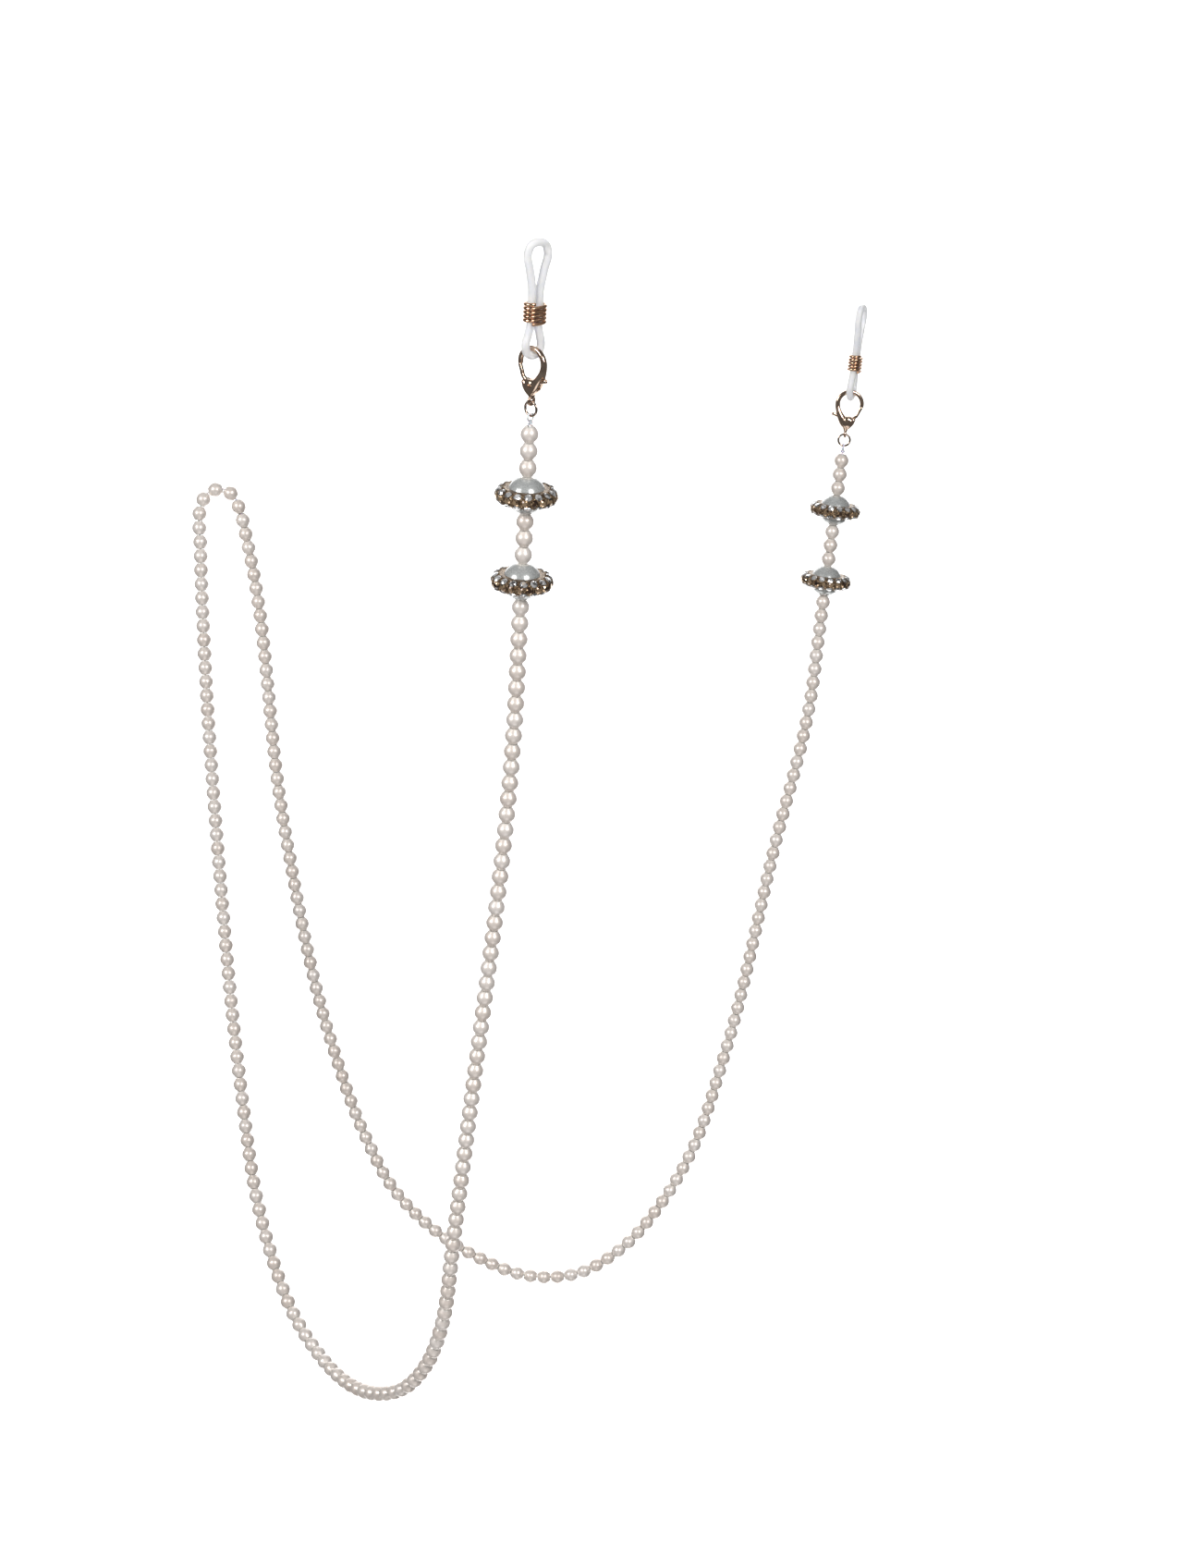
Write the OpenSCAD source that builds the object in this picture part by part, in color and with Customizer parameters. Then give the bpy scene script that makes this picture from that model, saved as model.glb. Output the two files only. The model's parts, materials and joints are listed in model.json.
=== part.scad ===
// Beaded strap for eyeglasses, hanging as in use: silicone temple loops, spring coils, lobster clasps,
// jump rings and one thread of pearls with two pave saucer beads near each end.
// Origin: where the strap rests on the neck or a hook, under the top bend. +Z is up.

/* [Pearls] */
// Diameter of a small pearl
pearl_d = 3; // [2.4:0.1:4]
// Diameter of the hole drilled through every bead
bore_d = 0.9; // [0.7:0.05:1]
// Diameter of the flat collar round each end of a small pearl's hole
collar_d = 1.2; // [1.1:0.05:1.5]
// Length of a small pearl from collar to collar
pearl_len = 2.84; // [2.3:0.02:3.9]
// Free space between neighbouring beads
bead_gap = 0.04; // [0.03:0.01:0.1]
// Extra thread between beads for each radian that the strand bends
bend_room = 0.6; // [0.5:0.05:0.8]
// Small pearls between the knot and the first saucer bead
lead_count = 3; // [1:1:3]
// Small pearls between the two saucer beads
spacer_count = 3; // [1:1:3]

/* [Saucer beads] */
// Diameter of the large core pearl
core_d = 6.5; // [5.4:0.1:7.8]
// Length of the core pearl along the thread
core_len = 6.3; // [5.2:0.1:7.6]
// Outer diameter of the clay band before the stones
band_d = 10; // [9.2:0.1:12]
// Height of the clay band
band_h = 2.5; // [2.3:0.1:3]
// Height of the upright rim that carries the middle row of stones
rim_h = 1.36; // [1.3:0.02:1.5]
// Width of the sloping faces that carry the upper and lower rows
slope_w = 0.9; // [0.7:0.05:1.1]
// Girdle diameter of one stone
stone_d = 1.22; // [0.9:0.02:1.3]
// Table diameter of one stone
table_d = 0.66; // [0.4:0.02:0.8]
// Width of the small flat at a stone's point
culet_d = 0.2; // [0.1:0.02:0.3]
// Height of a stone's crown above its girdle
crown_h = 0.24; // [0.1:0.02:0.4]
// Depth of a stone's pointed back below its girdle
pavilion_h = 0.46; // [0.3:0.02:0.6]
// Clear stones in the upper row and again in the lower row
edge_stones = 16; // [10:1:18]
// Topaz stones in the middle row
rim_stones = 20; // [12:1:22]
// Free space round a stone in its seat
stone_gap = 0.02; // [0.01:0.01:0.04]
// Free space between the core pearl and the clay band
band_gap = 0.02; // [0.01:0.01:0.05]

/* [Thread and knots] */
// Diameter of the beading thread
thread_d = 0.36; // [0.3:0.02:0.4]
// Diameter of the knot at each end
knot_d = 1; // [0.8:0.05:1.2]
// Centreline diameter of the thread eye above each knot
eye_d = 1.4; // [1.3:0.1:1.8]
// Height of the thread eye's lowest point above the middle of its knot
eye_lift = 0.2; // [0.1:0.05:0.4]

/* [Jump rings] */
// Centreline diameter of a jump ring
ring_d = 2.4; // [2.2:0.1:3.6]
// Wire diameter of a jump ring
ring_wire_d = 0.45; // [0.35:0.05:0.5]

/* [Clasps] */
// Centreline diameter of the tail eye
tail_eye_d = 1.3; // [1.2:0.05:1.6]
// Thickness of the tail eye's metal
tail_wire_d = 0.56; // [0.4:0.02:0.6]
// Centreline diameter of the hook
hook_d = 5; // [4.8:0.1:6]
// Thickness of the hook
hook_wire_d = 0.9; // [0.7:0.05:1]
// Height of the hook's centre above the tail eye's centre
hook_rise = 6.2; // [6:0.1:7]
// Sideways place of the hook's centre
hook_side = 0.2; // [0:0.05:0.4]
// Thickness of the clasp body
body_t = 2.2; // [2:0.1:2.6]
// Width of the slot that the trigger turns in
slot_t = 0.96; // [0.9:0.02:1.1]
// Thickness of the trigger plate
trigger_t = 0.62; // [0.5:0.02:0.64]
// Height of the rivet above the tail eye's centre
rivet_rise = 2.6; // [2.4:0.1:2.8]
// Sideways place of the rivet
rivet_side = 0.2; // [0:0.05:0.3]
// Diameter of the rivet
rivet_d = 0.6; // [0.5:0.05:0.7]
// Diameter of the rivet's two heads
rivet_head_d = 1; // [0.8:0.05:1.1]
// Height of each rivet head
rivet_head_h = 0.16; // [0.1:0.02:0.3]
// Free space round the rivet in the trigger
rivet_gap = 0.03; // [0.02:0.01:0.06]
// Angle through which the trigger opens
trigger_open = 24; // [18:1:26]
// Free space round the trigger in its slot
trigger_gap = 0.1; // [0.06:0.01:0.12]
// Wire diameter of the trigger's torsion spring
spring_wire_d = 0.16; // [0.12:0.02:0.18]

/* [Silicone loops] */
// Length of a temple loop over its two ends
loop_len = 20; // [18:0.5:26]
// Diameter of the silicone tube
tube_d = 1.4; // [1.2:0.05:1.5]
// Outside width of the upper eye that takes the temple
upper_eye_w = 5; // [4.6:0.1:6]
// Outside width of the lower eye that takes the clasp
lower_eye_w = 4.2; // [4.1:0.1:5]
// Free space between the two legs inside the coil
leg_gap = 0.04; // [0.02:0.02:0.1]
// Height of the coil's lowest turn above the bottom of the loop's centreline
coil_rise = 5.4; // [5.2:0.1:5.8]
// Wire diameter of the coil
coil_wire_d = 0.58; // [0.4:0.02:0.62]
// Rise of the coil in one turn
coil_pitch = 0.66; // [0.64:0.02:0.8]
// Number of turns in the coil
coil_turns = 5; // [3:1:5]
// Free space between the coil and the silicone
coil_gap = 0.03; // [0.02:0.01:0.1]
// Height above the coil over which the legs stay parallel
coil_travel = 1.5; // [1:0.1:2]

/* [Hang] */
// Turn of the left clasp about the strand
left_clasp_turn = -40; // [-60:1:60]
// Turn of the left temple loop about the strand
left_loop_turn = 30; // [15:1:60]
// Turn of the right clasp about the strand
right_clasp_turn = 0; // [-30:1:30]
// Turn of the right temple loop about the strand
right_loop_turn = 70; // [65:1:110]
// Free space between linked pieces
link_gap = 0.02; // [0.01:0.01:0.06]

/* [Hidden] */
LEFT = 0;
RIGHT = 1;
RUN_GROUPS = 14;

// Thread route from the left knot, down and up to the neck rest, and down and up to the right knot.
// The first three and the last three points lie on straight lines.
ROUTE = [
    [67, -140, 27], [65, -133, -7], [64, -129.5, -24], [55, -115, -100], [52, -108, -123],
    [49, -98, -144.5], [46, -91.5, -154], [41, -84, -162], [34.5, -75, -166.5], [28, -64.5, -168],
    [22, -54.5, -166], [16.5, -46, -161], [12, -39, -152.5], [8.5, -33, -142.5], [4.5, -24, -120.5],
    [-0.5, -12, -74], [-3.5, -4, -27], [-4, -1.5, -9.5], [-4, -0.5, -2.5], [-2.8, 0, 0.3],
    [0, 0, 1.5], [2.8, 0, 0.3], [4, 0, -2.5], [5.5, 0.5, -9.5], [12, 0.5, -69.5], [21, 1, -116.5],
    [28.5, 1, -139], [34, 1, -150], [42, 1.5, -159], [52, 2, -166], [63, 2.5, -170.5],
    [74, 2.5, -170], [84, 3, -164], [92, 3.5, -154.5], [98, 3.5, -144], [105.5, 4, -121.5],
    [116, 4.5, -75], [123, 5, -45], [125, 4, -27], [129, 2, 9]
];
ROUTE_STEPS = 8;
THREAD_RINGS = 80;
THREAD_SIDES = 8;
// A direction that the thread never runs along, which keeps the tube from twisting
THREAD_REF = [0.5, 0.85, 0];
// Curvature per mm that a straight stretch counts as when the tube's rings are shared out
STRAIGHT_CURVATURE = 0.0008;
// Half of the stretch of thread that sets one bead's place and direction
BEAD_CHORD = 1;
TUBE_SIDES = 12;
LOOP_STEPS = 4;
COIL_SIDES = 8;
COIL_STEPS = 24;
ROUND = 48;
SMALL_ROUND = 24;

pitch = pearl_len + bead_gap;
core_step = (core_len + pearl_len) / 2 + bead_gap;
first_pearl_s = knot_d / 2 + bead_gap + pearl_len / 2;
upper_saucer_s = first_pearl_s + (lead_count - 1) * pitch + core_step;
first_spacer_s = upper_saucer_s + core_step;
lower_saucer_s = first_spacer_s + (spacer_count - 1) * pitch + core_step;
first_run_s = lower_saucer_s + core_step;

// Heights along an end, above the middle of its knot
eye_z = eye_d / 2 + eye_lift;
eye_top_z = eye_z + eye_d / 2;
ring_z = eye_top_z - thread_d / 2 - ring_wire_d / 2 - link_gap + ring_d / 2;
ring_top_z = ring_z + ring_d / 2;
tail_z = ring_top_z + (tail_eye_d - tail_wire_d) / 2 - ring_wire_d / 2 - link_gap;
hook_top_z = tail_z + hook_rise + hook_d / 2;
loop_z = hook_top_z - hook_wire_d / 2 - tube_d / 2 - link_gap;

// Curve through points: each point's direction is weighted by the lengths of its two sides
function unit(v) = v / norm(v);
function slope(p, i, closed) =
    let (n = len(p),
         a = closed ? p[(i + n - 1) % n] : p[max(i - 1, 0)],
         b = p[i],
         c = closed ? p[(i + 1) % n] : p[min(i + 1, n - 1)],
         d = norm(b - a),
         e = norm(c - b))
    d == 0 ? (c - b) / e : e == 0 ? (b - a) / d : ((c - b) / e * d + (b - a) / d * e) / (d + e);
function blend(a, b, m, n, h, u) =
    a * (2 * u^3 - 3 * u^2 + 1) + b * (3 * u^2 - 2 * u^3)
    + m * h * (u^3 - 2 * u^2 + u) + n * h * (u^3 - u^2);
function curve(p, steps, closed = false) =
    let (n = len(p), last = closed ? n : n - 1)
    [for (i = [0:last - 1], k = [0:steps - 1])
        let (j = (i + 1) % n)
        blend(p[i], p[j], slope(p, i, closed), slope(p, j, closed), norm(p[j] - p[i]), k / steps),
     if (!closed) p[n - 1]];
function sums(v) = [for (i = 0, t = 0; i <= len(v); t = t + (i < len(v) ? v[i] : 0), i = i + 1) t];
function table(keys, v) = [for (i = [0:len(keys) - 1]) [keys[i], v[i]]];
function bend(a, b) = acos(min(1, max(-1, a * b))) * PI / 180;

route = curve(ROUTE, ROUTE_STEPS);
route_n = len(route);
sides_of_route = [for (i = [1:route_n - 1]) route[i] - route[i - 1]];
side_len = [for (v = sides_of_route) norm(v)];
side_dir = [for (v = sides_of_route) unit(v)];
// The turn at the start of each side
side_turn = [for (i = [0:route_n - 2]) i == 0 ? 0 : bend(side_dir[i - 1], side_dir[i])];
route_s = sums(side_len);
route_len = route_s[route_n - 1];
route_x = table(route_s, [for (p = route) p.x]);
route_y = table(route_s, [for (p = route) p.y]);
route_z = table(route_s, [for (p = route) p.z]);
function at(s) = [lookup(s, route_x), lookup(s, route_y), lookup(s, route_z)];

// Beads take equal steps of this measure, which grows more slowly where the strand bends
bead_measure = route_s - bend_room * sums(side_turn);
s_of_bead = table(bead_measure, route_s);
bead_of_s = table(route_s, bead_measure);
run_start = lookup(first_run_s, bead_of_s);
run_end = lookup(route_len - first_run_s, bead_of_s);
run_count = floor((run_end - run_start) / pitch) + 1;
run_step = (run_end - run_start) / (run_count - 1);

// The tube's rings lie closer together where the thread bends
ring_measure = sums([for (i = [0:route_n - 2])
    sqrt(side_turn[i] / side_len[i] + STRAIGHT_CURVATURE) * side_len[i]]);
s_of_ring = table(ring_measure, route_s);
thread_path = [for (i = [0:THREAD_RINGS - 1])
    at(lookup(i / (THREAD_RINGS - 1) * ring_measure[route_n - 1], s_of_ring))];

// Tube swept along a path, with its rings square to the path
module tube(path, d, sides, ref, closed = false) {
    n = len(path);
    points = [for (i = [0:n - 1])
        let (before = path[closed ? (i + n - 1) % n : max(i - 1, 0)],
             after = path[closed ? (i + 1) % n : min(i + 1, n - 1)],
             t = unit(after - before),
             a = unit(cross(t, ref)),
             b = cross(t, a))
        for (k = [0:sides - 1])
            path[i] + d / 2 * (a * cos(360 * k / sides) + b * sin(360 * k / sides))];
    walls = [for (i = [0:(closed ? n : n - 1) - 1], k = [0:sides - 1])
        let (j = (i + 1) % n, m = (k + 1) % sides)
        each [[i * sides + k, j * sides + k, j * sides + m],
              [i * sides + k, j * sides + m, i * sides + m]]];
    caps = closed ? [] : [
        [for (k = [0:sides - 1]) k],
        [for (k = [sides - 1:-1:0]) (n - 1) * sides + k]];
    polyhedron(points, concat(walls, caps));
}

// Place on the thread, with Z along it towards its left end
module on_thread(s) {
    a = at(s - BEAD_CHORD);
    b = at(s + BEAD_CHORD);
    d = unit(a - b);
    translate((a + b) / 2) rotate([0, acos(d.z), atan2(d.y, d.x)]) children();
}

// Place at an end of the thread, with Z outwards along it and X turned from the room's X
module at_end(side, turn) {
    p = side == LEFT ? ROUTE[0] : ROUTE[len(ROUTE) - 1];
    q = side == LEFT ? ROUTE[1] : ROUTE[len(ROUTE) - 2];
    d = unit(p - q);
    around = atan2(d.y, d.x);
    translate(p) rotate([0, acos(d.z), around]) rotate([0, 0, turn - around]) children();
}
function end_s(side, s) = side == LEFT ? s : route_len - s;
function clasp_turn(side) = side == LEFT ? left_clasp_turn : right_clasp_turn;
function loop_turn(side) = side == LEFT ? left_loop_turn : right_loop_turn;

// Clasp frame: Z from the tail eye to the hook, hook spine on -X. The left clasp is its mirror image
module in_clasp(side) {
    at_end(side, clasp_turn(side)) translate([0, 0, tail_z])
        mirror([side == LEFT ? 1 : 0, 0, 0]) children();
}

// Torus about Z
module ring(d, wire_d) {
    rotate_extrude($fn = ROUND) translate([d / 2, 0]) circle(d = wire_d, $fn = SMALL_ROUND);
}

// Bar with round ends from p to q, drawn flat
module bar(p, q, w) {
    d = q - p;
    translate(p) circle(d = w, $fn = SMALL_ROUND);
    translate(q) circle(d = w, $fn = SMALL_ROUND);
    translate(p) rotate(atan2(d.y, d.x)) translate([0, -w / 2]) square([norm(d), w]);
}

// Flat shape in the clasp's XZ plane, extruded to thickness t about its middle at y
module plate(t, y = 0) {
    translate([0, y + t / 2, 0]) rotate([90, 0, 0]) linear_extrude(height = t) children();
}

module bead(d, length, collar) {
    difference() {
        union() {
            intersection() {
                sphere(d = d, $fn = ROUND);
                cylinder(h = length, d = 2 * d, center = true, $fn = SMALL_ROUND);
            }
            cylinder(h = length, d = collar, center = true, $fn = SMALL_ROUND);
        }
        cylinder(h = 2 * d, d = bore_d, center = true, $fn = SMALL_ROUND);
    }
}

module pearl() {
    bead(pearl_d, pearl_len, collar_d);
}

// Main strand: one of RUN_GROUPS shares of the run between the two lower saucer beads
module run_pearls(group) {
    first = floor((group - 1) * run_count / RUN_GROUPS);
    last = floor(group * run_count / RUN_GROUPS) - 1;
    color("ivory") for (i = [first:last])
        on_thread(lookup(run_start + i * run_step, s_of_bead)) pearl();
}

module lead_pearls(side) {
    color("ivory") for (i = [0:lead_count - 1])
        on_thread(end_s(side, first_pearl_s + i * pitch)) pearl();
}

module spacer_pearls(side) {
    color("ivory") for (i = [0:spacer_count - 1])
        on_thread(end_s(side, first_spacer_s + i * pitch)) pearl();
}

module thread() {
    color("white") tube(thread_path, thread_d, THREAD_SIDES, THREAD_REF);
}

// Knot with a blind bore that holds the thread's end, and the thread eye above it
module thread_knot(side) {
    color("white") at_end(side, clasp_turn(side)) {
        difference() {
            sphere(d = knot_d, $fn = SMALL_ROUND);
            translate([0, 0, -knot_d])
                cylinder(h = knot_d, d = thread_d, $fn = SMALL_ROUND);
        }
        translate([0, 0, eye_z]) rotate([0, 90, 0]) ring(eye_d, thread_d);
    }
}

// Saucer bead frame: Z along the thread, middle of the core pearl at its origin
module in_saucer(side, s) {
    on_thread(end_s(side, s)) children();
}

module core_pearl(side, s) {
    color("gainsboro") in_saucer(side, s) bead(core_d, core_len, collar_d);
}

// Radius inside the core pearl from which the clay is cut back to the pearl's surface
band_root_r = core_d / 2 - 0.6;
slope_angle = atan2((band_h - rim_h) / 2, slope_w);
slope_middle_r = (band_d - slope_w) / 2;
slope_middle_z = (band_h + rim_h) / 4;

// Stone with its girdle at the origin and its table on +Z
module stone(extra = 0) {
    cylinder(h = crown_h, d1 = stone_d + 2 * extra, d2 = table_d + 2 * extra, $fn = SMALL_ROUND);
    translate([0, 0, -pavilion_h])
        cylinder(h = pavilion_h, d1 = culet_d + 2 * extra, d2 = stone_d + 2 * extra, $fn = SMALL_ROUND);
}

module rim_row(extra = 0) {
    for (i = [0:rim_stones - 1])
        rotate([0, 0, 360 * i / rim_stones]) translate([band_d / 2, 0, 0]) rotate([0, 90, 0])
            stone(extra);
}

module edge_row(up, extra = 0) {
    for (i = [0:edge_stones - 1])
        rotate([0, 0, 360 * (i + 0.5) / edge_stones])
            translate([slope_middle_r, 0, up * slope_middle_z])
                rotate([0, 90 - up * (90 - slope_angle), 0]) stone(extra);
}

module clay_band(side, s) {
    color("darkgoldenrod") in_saucer(side, s) difference() {
        rotate_extrude($fn = ROUND) polygon([
            [band_root_r, -band_h / 2], [band_d / 2 - slope_w, -band_h / 2],
            [band_d / 2, -rim_h / 2], [band_d / 2, rim_h / 2],
            [band_d / 2 - slope_w, band_h / 2], [band_root_r, band_h / 2]]);
        sphere(d = core_d + 2 * band_gap, $fn = ROUND);
        rim_row(stone_gap);
        edge_row(1, stone_gap);
        edge_row(-1, stone_gap);
    }
}

module clear_stones(side, s) {
    color("white") in_saucer(side, s) {
        edge_row(1);
        edge_row(-1);
    }
}

module topaz_stones(side, s) {
    color("saddlebrown") in_saucer(side, s) rim_row();
}

module jump_ring(side) {
    color("tan") at_end(side, clasp_turn(side)) translate([0, 0, ring_z]) rotate([90, 0, 0])
        ring(ring_d, ring_wire_d);
}

rivet_at = [rivet_side, rivet_rise];
hook_at = [hook_side, hook_rise];
hook_start = 205;
hook_end = -6;
hook_root = hook_at + hook_d / 2 * [cos(hook_start), sin(hook_start)];
hook_tip = hook_at + hook_d / 2 * [cos(hook_end), sin(hook_end)];
// The body's outline: its shoulder, cheek and the bridge over the tail eye, as [place, diameter]
body_root = [hook_root, 1.1];
body_shoulder = [[-0.9, 2.9], 1.4];
body_cheek = [[1.2, 3], 1.1];
body_bridge = [[0, tail_eye_d / 2 + 0.6], 1.2];
// The trigger: a boss round the rivet, an arm that closes the hook, and a lever for the thumb
boss_d = 1.2;
arm_w = 0.62;
arm_elbow = [1.85, 3.8];
arm_end_angle = hook_end - 8;
arm_end = hook_at + hook_d / 2 * [cos(arm_end_angle), sin(arm_end_angle)];
lever_elbow = [-1.9, 3.5];
lever_end = [-3, 3.9];
SWEEP_STEPS = 4;

module trigger_outline(extra = 0) {
    w = arm_w + 2 * extra;
    translate(rivet_at) circle(d = boss_d + 2 * extra, $fn = SMALL_ROUND);
    bar(rivet_at, arm_elbow, w);
    bar(arm_elbow, arm_end, w);
    bar(rivet_at, lever_elbow, w);
    bar(lever_elbow, lever_end, w);
}

// Everything that the trigger sweeps inside the body: both limits and three stops between
module trigger_sweep() {
    for (i = [0:SWEEP_STEPS])
        translate(rivet_at) rotate(trigger_open * i / SWEEP_STEPS) translate(-rivet_at)
            trigger_outline(trigger_gap);
}

module disc(spot) {
    translate(spot[0]) circle(d = spot[1], $fn = SMALL_ROUND);
}

module body_outline() {
    hull() {
        disc(body_root);
        disc(body_shoulder);
    }
    hull() {
        disc(body_shoulder);
        disc(body_bridge);
        disc(body_cheek);
    }
}

module clasp_body(side) {
    color("peru") in_clasp(side) {
        difference() {
            union() {
                plate(body_t) body_outline();
                translate([hook_side, 0, hook_rise]) rotate([90, 0, 0]) rotate([0, 0, hook_end])
                    rotate_extrude(angle = hook_start - hook_end, $fn = ROUND)
                        translate([hook_d / 2, 0]) circle(d = hook_wire_d, $fn = SMALL_ROUND);
                rotate([0, 90, 0]) ring(tail_eye_d, tail_wire_d);
            }
            plate(slot_t) trigger_sweep();
            plate(2 * body_t) translate(rivet_at) circle(d = rivet_d, $fn = SMALL_ROUND);
        }
    }
}

// The trigger lies to one side of its slot, and the spring fills the other side
trigger_side_gap = 0.04;
trigger_y = (trigger_t - slot_t) / 2 + trigger_side_gap;

module clasp_trigger(side) {
    color("sandybrown") in_clasp(side) plate(trigger_t, trigger_y) difference() {
        trigger_outline();
        translate(rivet_at) circle(d = rivet_d + 2 * rivet_gap, $fn = SMALL_ROUND);
    }
}

module clasp_rivet(side) {
    color("burlywood") in_clasp(side) translate([rivet_side, 0, rivet_rise]) rotate([90, 0, 0]) {
        cylinder(h = body_t, d = rivet_d, center = true, $fn = SMALL_ROUND);
        for (up = [-1, 1])
            translate([0, 0, up * (body_t + rivet_head_h) / 2])
                cylinder(h = rivet_head_h, d = rivet_head_d, center = true, $fn = SMALL_ROUND);
    }
}

spring_gap = 0.05;
spring_side_gap = 0.02;
// The leg starts a little inside the turn, so that the two are one wire
spring_lap = 0.1;
spring_bite = 0.05;
spring_leg_len = 1.2;
spring_leg_angle = 82;

// Torsion spring: one turn round the rivet beside the trigger, and a leg that lies along the lever
module trigger_spring(side) {
    turn_d = rivet_d + spring_wire_d + 2 * spring_gap;
    y = (slot_t - spring_wire_d) / 2 - spring_side_gap;
    color("silver") in_clasp(side) translate([rivet_side, y, rivet_rise]) {
        rotate([90, 0, 0]) ring(turn_d, spring_wire_d);
        translate([spring_lap, 0, turn_d / 2 - spring_bite]) rotate([0, -spring_leg_angle, 0])
            cylinder(h = spring_leg_len, d = 0.9 * spring_wire_d, $fn = SMALL_ROUND);
    }
}

// Temple loop frame: Z up the loop, X across its two legs, origin at the bottom of its centreline
module in_loop(side) {
    at_end(side, clasp_turn(side))
        translate([side == LEFT ? -hook_side : hook_side, 0, loop_z])
            rotate([0, 0, loop_turn(side) - clasp_turn(side)]) children();
}

leg_x = (tube_d + leg_gap) / 2;
upper_x = (upper_eye_w - tube_d) / 2;
lower_x = (lower_eye_w - tube_d) / 2;
loop_top = loop_len - tube_d;
coil_top = coil_rise + coil_pitch * coil_turns;
// The two legs run side by side from just below the coil to just above its travel
legs_meet = coil_rise - 0.5;
legs_part = coil_top + coil_travel + 0.5;
// Heights of the widest places of the two eyes, and of the middle of the lower eye's closing flank
eye_half_h = 1.6;
lower_flank_z = 3.5;
upper_eye_z = loop_top - eye_half_h;
// The eyes' round ends: a point at this share of the half width, this far from the loop's end
ROUND_SHARE = 0.72;
lower_round = 0.42;
upper_round = 0.45;
right_leg = [
    [lower_x * ROUND_SHARE, lower_round], [lower_x, eye_half_h],
    [(lower_x + leg_x) / 2, lower_flank_z], [leg_x, legs_meet], [leg_x, coil_top - 1],
    [leg_x, legs_part], [(upper_x + leg_x) / 2, (legs_part + upper_eye_z) / 2],
    [upper_x, upper_eye_z], [upper_x * ROUND_SHARE, loop_top - upper_round]];
leg_n = len(right_leg);
loop_outline = concat(
    [[0, 0, 0]], [for (p = right_leg) [p.x, 0, p.y]],
    [[0, 0, loop_top]], [for (i = [leg_n - 1:-1:0]) [-right_leg[i].x, 0, right_leg[i].y]]);

module temple_loop(side) {
    color("whitesmoke") in_loop(side)
        tube(curve(loop_outline, LOOP_STEPS, true), tube_d, TUBE_SIDES, [0, 1, 0], true);
}

// Coil: a helix on an outline of two half circles and two straights, wound round both legs
coil_r = (tube_d + coil_wire_d) / 2 + coil_gap;
coil_half = leg_x;
coil_lap = 4 * coil_half + 2 * PI * coil_r;
function coil_outline(u) =
    let (d = u * coil_lap, arc = PI * coil_r, flat = 2 * coil_half)
    d < flat ? [d - coil_half, -coil_r]
    : d < flat + arc ? [coil_half, 0] + coil_r * [sin((d - flat) / coil_r * 180 / PI),
                                                -cos((d - flat) / coil_r * 180 / PI)]
    : d < 2 * flat + arc ? [coil_half - (d - flat - arc), coil_r]
    : [-coil_half, 0] - coil_r * [sin((d - 2 * flat - arc) / coil_r * 180 / PI),
                                -cos((d - 2 * flat - arc) / coil_r * 180 / PI)];
coil_path = [for (i = [0:coil_turns * COIL_STEPS])
    let (u = i / COIL_STEPS, p = coil_outline(u - floor(u)))
    [p.x, p.y, coil_rise + coil_pitch * u]];

module loop_coil(side) {
    color("peru") in_loop(side) tube(coil_path, coil_wire_d, COIL_SIDES, [0, 0, 1]);
}

thread();
run_pearls(1);  // run_pearls_01
run_pearls(2);  // run_pearls_02
run_pearls(3);  // run_pearls_03
run_pearls(4);  // run_pearls_04
run_pearls(5);  // run_pearls_05
run_pearls(6);  // run_pearls_06
run_pearls(7);  // run_pearls_07
run_pearls(8);  // run_pearls_08
run_pearls(9);  // run_pearls_09
run_pearls(10);  // run_pearls_10
run_pearls(11);  // run_pearls_11
run_pearls(12);  // run_pearls_12
run_pearls(13);  // run_pearls_13
run_pearls(14);  // run_pearls_14

temple_loop(LEFT);  // left_temple_loop
loop_coil(LEFT);  // left_loop_coil
clasp_body(LEFT);  // left_clasp_body
clasp_trigger(LEFT);  // left_clasp_trigger
clasp_rivet(LEFT);  // left_clasp_rivet
trigger_spring(LEFT);  // left_trigger_spring
jump_ring(LEFT);  // left_jump_ring
thread_knot(LEFT);  // left_thread_knot
lead_pearls(LEFT);  // left_lead_pearls
spacer_pearls(LEFT);  // left_spacer_pearls
core_pearl(LEFT, upper_saucer_s);  // left_upper_core_pearl
clay_band(LEFT, upper_saucer_s);  // left_upper_clay_band
clear_stones(LEFT, upper_saucer_s);  // left_upper_clear_stones
topaz_stones(LEFT, upper_saucer_s);  // left_upper_topaz_stones
core_pearl(LEFT, lower_saucer_s);  // left_lower_core_pearl
clay_band(LEFT, lower_saucer_s);  // left_lower_clay_band
clear_stones(LEFT, lower_saucer_s);  // left_lower_clear_stones
topaz_stones(LEFT, lower_saucer_s);  // left_lower_topaz_stones

temple_loop(RIGHT);  // right_temple_loop
loop_coil(RIGHT);  // right_loop_coil
clasp_body(RIGHT);  // right_clasp_body
clasp_trigger(RIGHT);  // right_clasp_trigger
clasp_rivet(RIGHT);  // right_clasp_rivet
trigger_spring(RIGHT);  // right_trigger_spring
jump_ring(RIGHT);  // right_jump_ring
thread_knot(RIGHT);  // right_thread_knot
lead_pearls(RIGHT);  // right_lead_pearls
spacer_pearls(RIGHT);  // right_spacer_pearls
core_pearl(RIGHT, upper_saucer_s);  // right_upper_core_pearl
clay_band(RIGHT, upper_saucer_s);  // right_upper_clay_band
clear_stones(RIGHT, upper_saucer_s);  // right_upper_clear_stones
topaz_stones(RIGHT, upper_saucer_s);  // right_upper_topaz_stones
core_pearl(RIGHT, lower_saucer_s);  // right_lower_core_pearl
clay_band(RIGHT, lower_saucer_s);  // right_lower_clay_band
clear_stones(RIGHT, lower_saucer_s);  // right_lower_clear_stones
topaz_stones(RIGHT, lower_saucer_s);  // right_lower_topaz_stones
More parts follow.
